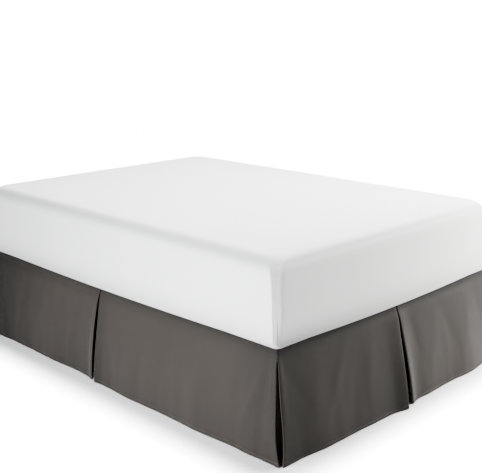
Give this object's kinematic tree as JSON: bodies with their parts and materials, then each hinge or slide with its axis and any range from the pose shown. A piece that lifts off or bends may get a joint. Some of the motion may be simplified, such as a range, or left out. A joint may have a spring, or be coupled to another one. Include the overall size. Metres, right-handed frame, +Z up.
{
  "type": "bed skirt on a plain double bed",
  "caption": "Tailored bed skirt with inverted box pleats and open foot corners, hanging to the floor from a flat platform between the mattress and base of a plain bed.",
  "frame": {"origin": "on the floor, under the middle of the whole object", "axes": "+X across the bed to the right as seen from its foot, +Y along the bed towards its head, +Z up"},
  "size_m": [1.5054, 2.0171, 0.7273],
  "materials": {
    "skirt_cloth": "dark warm grey brushed cloth with a faint sheen",
    "mattress_cover": "plain white fitted cotton cover",
    "base_ticking": "plain grey woven ticking",
    "leg_wood": "dark stained, satin"
  },
  "bodies": {
    "root": {"deck": "skirt_cloth", "drop_left": "skirt_cloth", "drop_foot": "skirt_cloth", "drop_right": "skirt_cloth", "corner_underlay_left": "skirt_cloth", "corner_underlay_right": "skirt_cloth", "mattress": "mattress_cover", "base": "base_ticking", "leg_left_foot": "leg_wood", "leg_left_middle": "leg_wood", "leg_left_head": "leg_wood", "leg_right_foot": "leg_wood", "leg_right_middle": "leg_wood", "leg_right_head": "leg_wood"}
  },
  "joints": []
}
